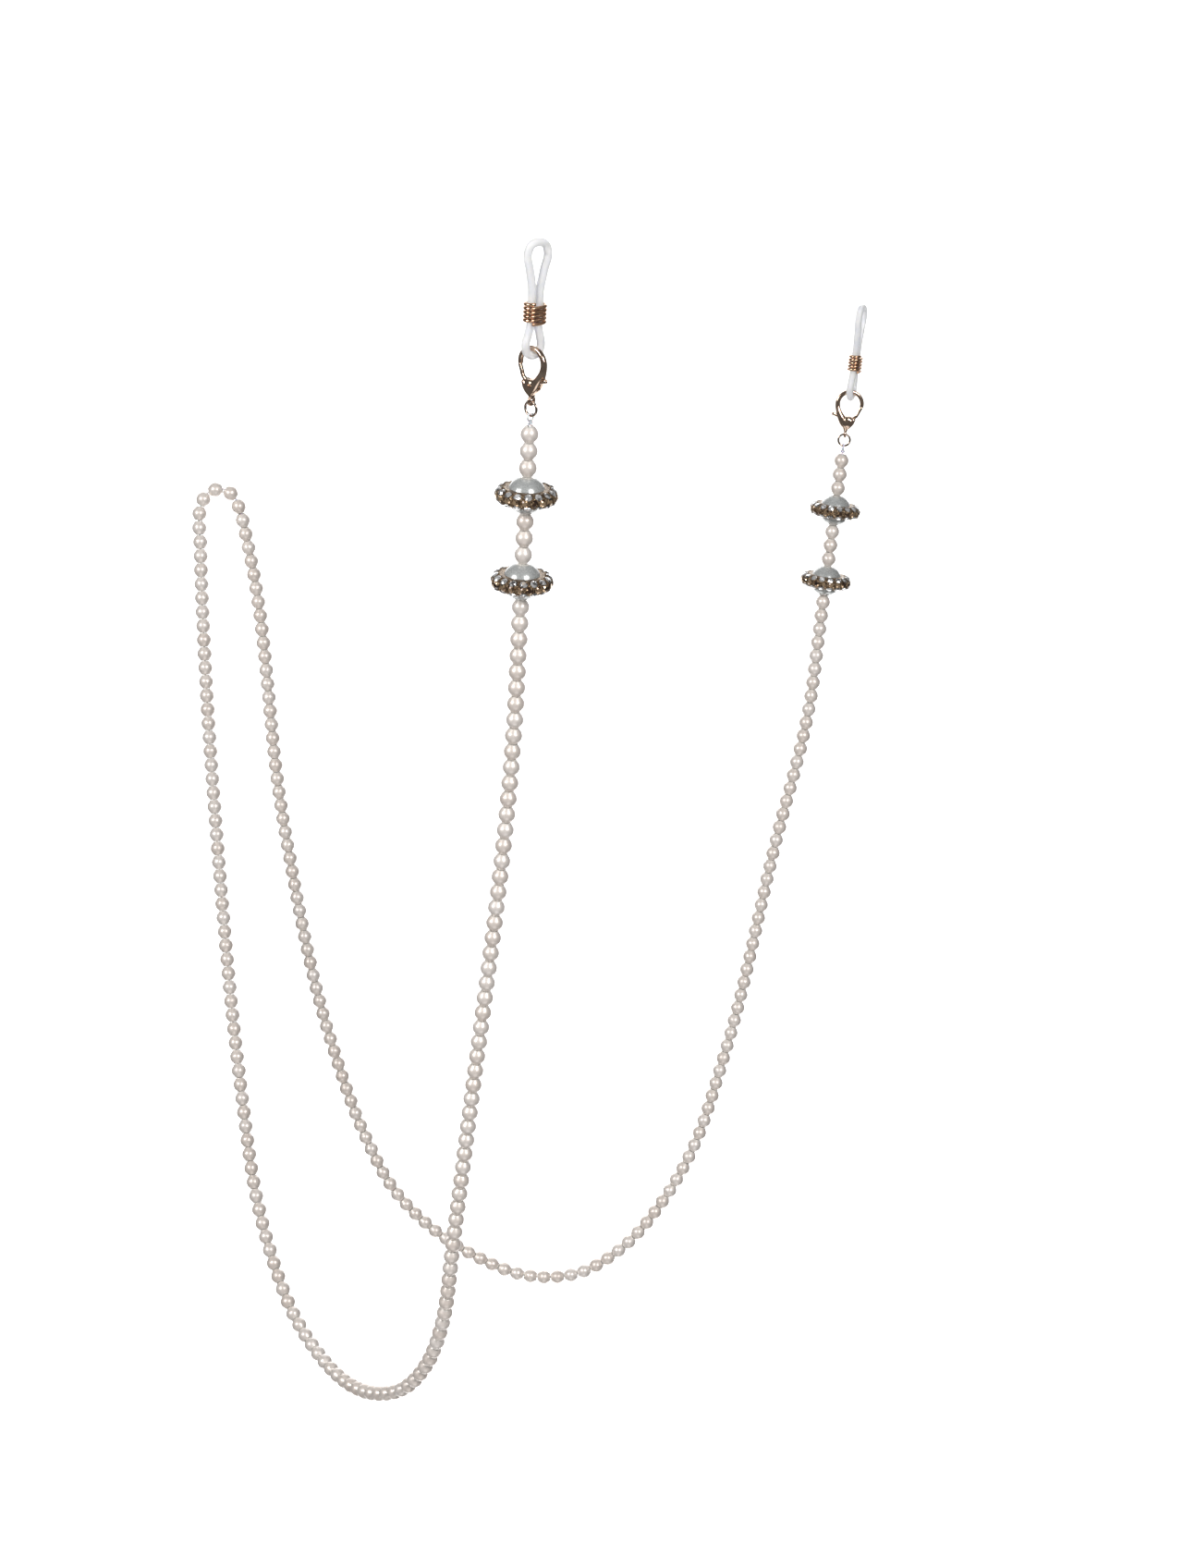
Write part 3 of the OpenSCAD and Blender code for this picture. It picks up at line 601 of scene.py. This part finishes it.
def stonePiece(name, s, rows, origin, axes, body, slot, node, seed):
    pick = np.random.default_rng(seed)
    places = np.concatenate([place for _, place, _ in rows])
    z = np.concatenate([facing for _, _, facing in rows])
    z = unit(z + pick.normal(0, s["tilt"], z.shape))
    x = unit(np.cross((0.31, 0.17, 0.93), z))
    y = np.cross(z, x)
    spin = pick.uniform(0, 2 * np.pi, len(z))[:, None]
    own = np.stack([x * np.cos(spin) + y * np.sin(spin), y * np.cos(spin) - x * np.sin(spin), z], 1)
    verts, faces = copies(*stoneShape(s), places, own)
    verts, faces = placed((verts, faces), origin, axes)
    # A random painted reflection for each facet, from dark to bright
    facet = pick.beta(0.55, 0.55, sum(len(f) for f in faces))
    mesh = fillMesh(name, verts, faces, {"facet": ("FACE", facet)}, smooth=False)
    return addPiece(name, mesh, body, slot, node)


core, band, seats = coreShape(coreSet), bandShape(bandSet), stonePlaces(stoneSet)
for side in sides:
    for row, part in enumerate(("upper", "lower")):
        body = f"{side}_{part}_saucer"
        (origin,), (axes,) = onThread(fromSide(side, endPlaces[part]))
        title = side + part.title()
        verts, faces = placed(core, origin, axes)
        # The collar mask marks the core's ends next to the bore, where the finish paints light into the joins
        collar = (np.abs(core[0][:, 2]) > coreSet["half"] - 0.12).astype(float)
        mesh = fillMesh(title + "Core", verts, faces, {
            "tone": ("POINT", np.full(len(verts), 0.5)), "collar": ("POINT", collar)})
        addPiece(title + "Core", mesh, body, "core_pearl", f"{side}_{part}_core_pearl")
        mesh = fillMesh(title + "Band", *placed(band, origin, axes))
        addPiece(title + "Band", mesh, body, "clay", f"{side}_{part}_clay_band")
        seed = stoneSet["seed"] + 7 * row + 40 * sides.index(side)
        stonePiece(title + "ClearStones", stoneSet, seats[1:], origin, axes, body, "clear_stone",
                   f"{side}_{part}_clear_stones", seed)
        stonePiece(title + "TopazStones", stoneSet, seats[:1], origin, axes, body, "topaz_stone",
                   f"{side}_{part}_topaz_stones", seed + 1)
print("saucer beads set")


# The frames of the two ends, from the joints
def endFrame(side):
    # Rows are the clasp's X, Y and Z directions, and the origin is the middle of the knot
    knot = route[0] if side == "left" else route[-1]
    turns = ("clasp_swing", "ring_swing", "coil_slide")
    return knot / mm, np.array([joints[f"{side}_{turn}"]["axis"] for turn in turns])


def heightOf(side, joint):
    origin, axes = endFrame(side)
    return float((np.array(joints[f"{side}_{joint}"]["pos_m"]) / mm - origin) @ axes[2])


# Knot, thread eye and jump ring
knotSet = {"radius": 0.5, "thread": 0.13, "points": 72, "sides": 10, "eye": 1.4, "eyeLift": 0.2,
           "strand": 0.088, "wraps": 1.6, "wrapRadius": 0.24, "wrapFoot": 0.27, "wrapRise": 0.11,
           "depth": 1.4, "heart": (0.33, 0.30)}
ringSet = {"radius": 1.2, "wire": 0.225, "slit": 0.05, "slitAt": 62.0, "rings": 72, "sides": 18}


def knotShape(s):
    # Trefoil knot of the thread, over a small core that its turns bury
    t = np.linspace(0, 2 * np.pi, s["points"], endpoint=False)
    line = np.stack([np.sin(t) + 2 * np.sin(2 * t), np.cos(t) - 2 * np.cos(2 * t),
                     -s["depth"] * np.sin(3 * t)], -1)
    line = line / 3.0 * (s["radius"] - s["thread"])
    knot = carried(line, s["thread"], s["thread"], line + 0.001, s["sides"], closed=True)
    t = np.linspace(-np.pi / 2, np.pi / 2, 13)[1:-1]
    height, width = s["heart"]
    spine = np.stack([0 * t, 0 * t, height * np.sin(t)], -1)
    heart = carried(spine, width * np.cos(t), width * np.cos(t), (1, 0, 0), 16)
    return joined(knot, heart)


def eyeShape(s):
    # Two turns of thread side by side through the jump ring, and wraps round their foot
    t = np.linspace(0, 2 * np.pi, 60, endpoint=False)
    r, middle = s["eye"] / 2, s["eyeLift"] + s["eye"] / 2
    shapes = []
    for shift in (-1, 1):
        line = np.stack([shift * s["strand"] * (1 + 0.10 * np.sin(2 * t)), r * np.sin(t),
                         middle + r * np.cos(t)], -1)
        shapes.append(carried(line, s["strand"], s["strand"], (1, 0, 0), 10, closed=True))
    t = np.linspace(0, 2 * np.pi * s["wraps"], 70)
    line = np.stack([s["wrapRadius"] * np.cos(t), s["wrapRadius"] * np.sin(t),
                     s["wrapFoot"] + s["wrapRise"] * t / (2 * np.pi)], -1)
    shapes.append(carried(*roundEnds(line, s["strand"], s["strand"]), (0, 0, 1), 10))
    return joined(*shapes)


def ringShape(s, middle):
    # Wire bent round in the clasp's XZ plane, with a thin slit where its ends meet
    slit = s["slit"] / s["radius"]
    t = np.radians(s["slitAt"]) + np.linspace(slit / 2, 2 * np.pi - slit / 2, s["rings"])
    line = np.stack([s["radius"] * np.cos(t), 0 * t, middle + s["radius"] * np.sin(t)], -1)
    return carried(line, s["wire"], s["wire"], (0, 1, 0), s["sides"])


for side in sides:
    origin, axes = endFrame(side)
    shape = joined(knotShape(knotSet), eyeShape(knotSet))
    addPiece(side + "Knot", fillMesh(side + "Knot", *placed(shape, origin, axes)), "strand",
             "thread", f"{side}_thread_knot")
    # The ring hangs from its lowest point inside the thread eye's top
    ringMiddle = heightOf(side, "clasp_swing") - ringSet["radius"]
    shape = placed(ringShape(ringSet, ringMiddle), origin, axes)
    addPiece(side + "Ring", fillMesh(side + "Ring", *shape), f"{side}_ring", "ring_wire",
             f"{side}_jump_ring")
print("knots and jump rings made")


# Lobster clasps
claspSet = {
    "hook": 2.5, "hookAt": (0.2, 6.2), "rivetAt": (0.2, 2.6), "tail": 0.65, "tailWire": 0.28,
    "slot": 0.48, "voxel": 0.07, "sides": 28,
    # The spine from the hook's end, over the top and down to the tail: half width, half thickness
    "hookSize": ((0.42, 0.42), (0.45, 0.45), (0.47, 0.47), (0.52, 0.55)),
    "hookAngles": (-6.0, 60.0, 130.0, 185.0),
    "spine": ((-2.08, 4.95, 0.56, 0.70), (-1.68, 4.05, 0.68, 0.94), (-1.08, 3.05, 0.84, 1.08),
              (-0.56, 2.15, 0.82, 1.07), (-0.14, 1.40, 0.62, 0.90), (0.0, 0.62, 0.40, 0.58)),
    "cheek": ((0.0, 0.95, 0.40, 0.66), (0.46, 1.65, 0.58, 0.97), (0.88, 2.42, 0.72, 1.07),
              (1.26, 3.06, 0.56, 1.00)),
    "belly": ((0.12, 2.46), (1.30, 1.09, 1.22)),
    # Room for the trigger: round its boss, and beside its two arms as they turn (degrees, reach)
    "bossRoom": 0.72, "armRoom": 0.43, "hookArm": (34, 62, 2.6), "thumbArm": (155, 183, 2.8),
}
triggerSet = {"half": 0.31, "y": -0.13, "boss": 0.60, "sides": 20, "voxel": 0.05,
              "line": ((-2.90, 3.87), (-2.40, 3.69), (-1.90, 3.50), (-0.85, 3.05), (0.2, 2.60),
                       (1.02, 3.20), (1.85, 3.80), (2.25, 4.72), (2.626, 5.595)),
              "thumb": 0.40}


def fused(name, shape, voxel, cuts=(), passes=3):
    # Overlapping shells made one skin of even cells, smoothed, with the cuts taken away
    source = bpy.data.objects.new(name, fillMesh(name, shape[0] / mm, shape[1]))
    bpy.context.scene.collection.objects.link(source)
    skin = source.modifiers.new("skin", "REMESH")
    skin.mode, skin.voxel_size, skin.use_smooth_shade = "VOXEL", voxel, True
    smooth = source.modifiers.new("smooth", "SMOOTH")
    smooth.factor, smooth.iterations = 0.5, passes
    tools = []
    for cut in cuts:
        tool = bpy.data.objects.new(name + "Cut", fillMesh(name + "Cut", cut[0] / mm, cut[1]))
        bpy.context.scene.collection.objects.link(tool)
        away = source.modifiers.new("away", "BOOLEAN")
        away.operation, away.object, away.solver = "DIFFERENCE", tool, "EXACT"
        tools.append(tool)
    graph = bpy.context.evaluated_depsgraph_get()
    mesh = bpy.data.meshes.new_from_object(source.evaluated_get(graph))
    for extra in (source, *tools):
        bpy.data.objects.remove(extra)
    return mesh


def meshArrays(mesh):
    verts = np.zeros(len(mesh.vertices) * 3, np.float32)
    mesh.vertices.foreach_get("co", verts)
    corners = np.zeros(len(mesh.loops), np.int32)
    mesh.loops.foreach_get("vertex_index", corners)
    sizes = np.zeros(len(mesh.polygons), np.int32)
    mesh.polygons.foreach_get("loop_total", sizes)
    starts = np.concatenate([[0], np.cumsum(sizes)[:-1]])
    sets = []
    for size in np.unique(sizes):
        picked = starts[sizes == size]
        sets.append(corners[picked[:, None] + np.arange(size)])
    return verts.reshape(-1, 3).astype(float), sets


def prism(outline, half):
    # A flat outline in the XZ plane, given anticlockwise with X to the right and Z up, and
    # thickened to half on either side of it
    outline = np.asarray(outline, float)
    n = len(outline)
    front = np.stack([outline[:, 0], np.full(n, -half), outline[:, 1]], -1)
    verts = np.concatenate([front, front * (1, -1, 1)])
    i, j = np.arange(n), (np.arange(n) + 1) % n
    walls = np.stack([i, n + i, n + j, j], -1)
    return verts, [walls, i[None], n + i[None, ::-1]]


def turnedWedge(s, low, high, reach, half, thick):
    # The room that a bar of this half width takes as it turns about the rivet from low to high
    def spot(angle, along, aside):
        a = math.radians(angle)
        return (s["rivetAt"][0] + along * math.cos(a) - aside * math.sin(a),
                s["rivetAt"][1] + along * math.sin(a) + aside * math.cos(a))
    outline = [spot(low, -0.2, -half), spot(low, reach, -half), spot(high, reach, half),
               spot(high, -0.2, half)]
    return prism(outline, thick)


def bodyShape(s):
    angles = np.radians(np.linspace(s["hookAngles"][0], s["hookAngles"][-1], 40))
    size = np.stack([np.interp(np.degrees(angles), s["hookAngles"],
                               [pair[k] for pair in s["hookSize"]]) for k in range(2)], -1)
    hook = np.stack([s["hookAt"][0] + s["hook"] * np.cos(angles),
                     s["hookAt"][1] + s["hook"] * np.sin(angles)], -1)
    spine = np.array(s["spine"])
    flow = np.concatenate([np.concatenate([hook, size], 1)[::3], spine])
    flow = smoothCurve(flow, 5)
    cheek = smoothCurve(np.array(s["cheek"]), 8)
    shapes = []
    for line in (flow, cheek):
        track = np.stack([line[:, 0], 0 * line[:, 0], line[:, 1]], -1)
        shapes.append(carried(*roundEnds(track, line[:, 2], line[:, 3]), (0, 1, 0), s["sides"],
                              power=2.5))
    (x, z), (a, b, c) = s["belly"]
    t = np.linspace(-np.pi / 2, np.pi / 2, 25)[1:-1]
    spineLine = np.stack([x + 0 * t, 0 * t, z + c * np.sin(t)], -1)
    shapes.append(carried(spineLine, a * np.cos(t) ** 0.7, b * np.cos(t) ** 0.4, (0, 1, 0), 40,
                          power=2.8))
    t = np.linspace(0, 2 * np.pi, 48, endpoint=False)
    tail = np.stack([0 * t, s["tail"] * np.cos(t), s["tail"] * np.sin(t)], -1)
    shapes.append(carried(tail, s["tailWire"], s["tailWire"], (1, 0, 0), 16, closed=True))
    return joined(*shapes)


def claspCuts(s):
    # The slot that the trigger turns in
    t = np.linspace(0, 2 * np.pi, 40, endpoint=False)
    x, z = s["rivetAt"]
    boss = prism(np.stack([x + s["bossRoom"] * np.cos(t), z + s["bossRoom"] * np.sin(t)], -1),
                 s["slot"])
    arms = [turnedWedge(s, *s[arm], s["armRoom"], s["slot"]) for arm in ("hookArm", "thumbArm")]
    return boss, *arms


def triggerShape(s):
    line = smoothCurve(np.array(s["line"]), 8)
    track = np.stack([line[:, 0], np.full(len(line), s["y"]), line[:, 1]], -1)
    bar = carried(*roundEnds(track, s["half"], s["half"]), (0, 1, 0), s["sides"], power=3.2)
    x, z = claspSet["rivetAt"]
    t = np.linspace(-np.pi / 2, np.pi / 2, 13)[1:-1]
    slab = np.stack([x + 0 * t, s["y"] + s["half"] * np.sign(t) * np.abs(np.sin(t)) ** 0.4,
                     z + 0 * t], -1)
    width = s["boss"] * np.cos(t) ** 0.25
    boss = carried(slab, width, width, (1, 0, 0), 32)
    x, z = s["line"][0]
    ball = np.stack([x + s["thumb"] * np.sin(t), s["y"] + 0 * t, z + 0 * t], -1)
    thumb = carried(ball, s["thumb"] * np.cos(t), s["half"] * 1.05 * np.cos(t), (0, 1, 0), 24)
    return joined(bar, boss, thumb)


claspMesh = meshArrays(fused("claspBody", bodyShape(claspSet), claspSet["voxel"],
                             claspCuts(claspSet)))
triggerMesh = meshArrays(fused("claspTrigger", triggerShape(triggerSet), triggerSet["voxel"],
                               passes=2))
print("clasp meshes:", len(claspMesh[0]), len(triggerMesh[0]))
for side in sides:
    origin, axes = endFrame(side)
    tailHeight = heightOf(side, "trigger_turn") - claspSet["rivetAt"][1]
    place = origin + tailHeight * axes[2]
    flip = side == "left"
    shape = placed(claspMesh, place, axes, flip)
    addPiece(side + "ClaspBody", fillMesh(side + "ClaspBody", *shape), f"{side}_clasp",
             "gold_plate", f"{side}_clasp_body")
    shape = placed(triggerMesh, place, axes, flip)
    addPiece(side + "ClaspTrigger", fillMesh(side + "ClaspTrigger", *shape), f"{side}_trigger",
             "gold_plate", f"{side}_clasp_trigger")
    # The rivet and the spring keep their own meshes
    for part, slot in (("clasp_rivet", "gold_plate"), ("trigger_spring", "spring_steel")):
        materials = frame["nodes"][f"{side}_{part}"].data.materials
        materials.clear()
        materials.append(finishes[slot])
print("clasps made")


# Silicone temple loops and their coils
loopSet = {"tube": 0.70, "length": 20.0, "upperEye": 5.0, "lowerEye": 4.2, "legGap": 0.04,
           "eyeHalf": 1.6, "flank": 3.5, "share": 0.72, "lowerRound": 0.42, "upperRound": 0.45,
           "steps": 10, "sides": 24}
coilSet = {"rise": 5.4, "wire": 0.29, "pitch": 0.66, "turns": 5, "gap": 0.03, "travel": 1.5,
           "steps": 64, "sides": 14}


def loopLine(s, c):
    # The two legs run side by side through the coil, and part into an eye above and below it
    leg = s["tube"] + s["legGap"] / 2
    upper, lower = s["upperEye"] / 2 - s["tube"], s["lowerEye"] / 2 - s["tube"]
    top = s["length"] - 2 * s["tube"]
    coilTop = c["rise"] + c["pitch"] * c["turns"]
    part = coilTop + c["travel"] + 0.5
    right = np.array([
        [lower * s["share"], s["lowerRound"]], [lower, s["eyeHalf"]],
        [(lower + leg) / 2, s["flank"]], [leg, c["rise"] - 0.5], [leg, coilTop - 1], [leg, part],
        [(upper + leg) / 2, (part + top - s["eyeHalf"]) / 2], [upper, top - s["eyeHalf"]],
        [upper * s["share"], top - s["upperRound"]]])
    ring = np.concatenate([[[0, 0]], right, [[0, top]], right[::-1] * (-1, 1)])
    line = smoothCurve(ring, s["steps"], closed=True)
    return np.stack([line[:, 0], 0 * line[:, 0], line[:, 1]], -1)


def coilLine(s, leg, tube):
    # Helix on an outline of two half circles and two straights, wound round both legs
    r = tube + s["wire"] + s["gap"]
    flat, bend = 2 * leg, np.pi * r
    u = np.arange(s["turns"] * s["steps"] + 1) / s["steps"]
    d = (u % 1.0) * 2 * (flat + bend)
    a, b = (d - flat) / r, (d - 2 * flat - bend) / r
    x = np.select([d < flat, d < flat + bend, d < 2 * flat + bend],
                  [d - leg, leg + r * np.sin(a), leg - (d - flat - bend)], -leg - r * np.sin(b))
    y = np.select([d < flat, d < flat + bend, d < 2 * flat + bend],
                  [-r + 0 * d, -r * np.cos(a), r + 0 * d], r * np.cos(b))
    return np.stack([x, y, s["rise"] + s["pitch"] * u], -1)


for side in sides:
    z = np.array(joints[f"{side}_coil_slide"]["axis"])
    mount = mounts[f"{side}_temple_eye"]
    y = np.array(mount["axis"])
    axes = np.array([np.cross(y, z), y, z])
    eyeHeight = loopSet["length"] - 2 * loopSet["tube"] - loopSet["eyeHalf"]
    origin = np.array(mount["pos_m"]) / mm - eyeHeight * z
    tube = carried(loopLine(loopSet, coilSet), loopSet["tube"], loopSet["tube"], (0, 1, 0),
                   loopSet["sides"], closed=True)
    addPiece(side + "TempleLoop", fillMesh(side + "TempleLoop", *placed(tube, origin, axes)),
             f"{side}_loop", "silicone", f"{side}_temple_loop")
    line = coilLine(coilSet, loopSet["tube"] + loopSet["legGap"] / 2, loopSet["tube"])
    wire = carried(*roundEnds(line, coilSet["wire"], coilSet["wire"], 4), (0, 0, 1),
                   coilSet["sides"])
    addPiece(side + "LoopCoil", fillMesh(side + "LoopCoil", *placed(wire, origin, axes)),
             f"{side}_coil", "copper_wire", f"{side}_loop_coil")
print("temple loops and coils made")


# Backdrop and light
stageSet = {"floor": -0.75, "wall": 0.60, "front": 0.1, "half": 0.5, "top": 0.75, "bend": 0.20,
            "colour": (0.90, 0.90, 0.90), "world": 0.14, "aim": (0.06, -0.04, -0.07)}
lightSet = (
    ("leftSoftbox", (-0.49, -0.60, 0.29), 0.30, 3.8),
    ("rightSoftbox", (0.435, -0.73, 0.29), 0.30, 3.6),
    ("topSoftbox", (0.06, 0.05, 0.95), 0.6, 0.35),
    ("lowFill", (0.10, -0.50, -0.75), 0.5, 0.9),
    ("wallLightHigh", (0.06, 0.05, 0.50), 0.7, 9.5),
    ("wallLightLow", (0.06, 0.05, -0.66), 0.7, 9.5),
)


def makeStage(s):
    # One sheet: floor, a quarter round, and the wall behind
    t = np.linspace(0, np.pi / 2, 24)
    y = np.concatenate([[s["front"]], s["wall"] - s["bend"] + s["bend"] * np.sin(t), [s["wall"]]])
    z = np.concatenate([[s["floor"]], s["floor"] + s["bend"] * (1 - np.cos(t)), [s["top"]]])
    x = np.array([-s["half"], s["half"]])
    verts = np.stack([x[None, :] + 0 * y[:, None], y[:, None] + 0 * x, z[:, None] + 0 * x], -1)
    mesh = fillMesh("backdrop", verts.reshape(-1, 3) / mm,
                    [gridFaces(len(y), 2, False, False)[:, ::-1]])
    backdrop = bpy.data.objects.new("backdrop", mesh)
    bpy.context.scene.collection.objects.link(backdrop)
    paint = Paint("paper")
    mottle = paint.noise(60.0, 2.0)
    shade = tuple(c * 0.97 for c in s["colour"])
    mesh.materials.append(paint.finish(
        Base_Color=paint.mix(mottle, shade, s["colour"]), Roughness=0.9))


def makeLights(s):
    for name, place, size, power in s:
        data = bpy.data.lights.new(name, "AREA")
        data.shape, data.size, data.energy = "SQUARE", size, power
        lamp = bpy.data.objects.new(name, data)
        # The wall lights face straight back, so that none of their light falls on the strap
        aim = np.array((0.0, 1.0, 0.0)) if "wall" in name else stageSet["aim"] - np.array(place)
        lamp.location = place
        lamp.rotation_euler = (math.atan2(math.hypot(aim[0], aim[1]), -aim[2]), 0.0,
                               math.atan2(-aim[0], aim[1]))
        bpy.context.scene.collection.objects.link(lamp)


makeStage(stageSet)
makeLights(lightSet)
world = bpy.data.worlds.new("room")
world.use_nodes = True
world.node_tree.nodes["Background"].inputs["Color"].default_value = (1.0, 0.99, 0.98, 1.0)
world.node_tree.nodes["Background"].inputs["Strength"].default_value = stageSet["world"]
bpy.context.scene.world = world
bpy.context.scene.view_settings.view_transform = "Standard"
print("stage set")
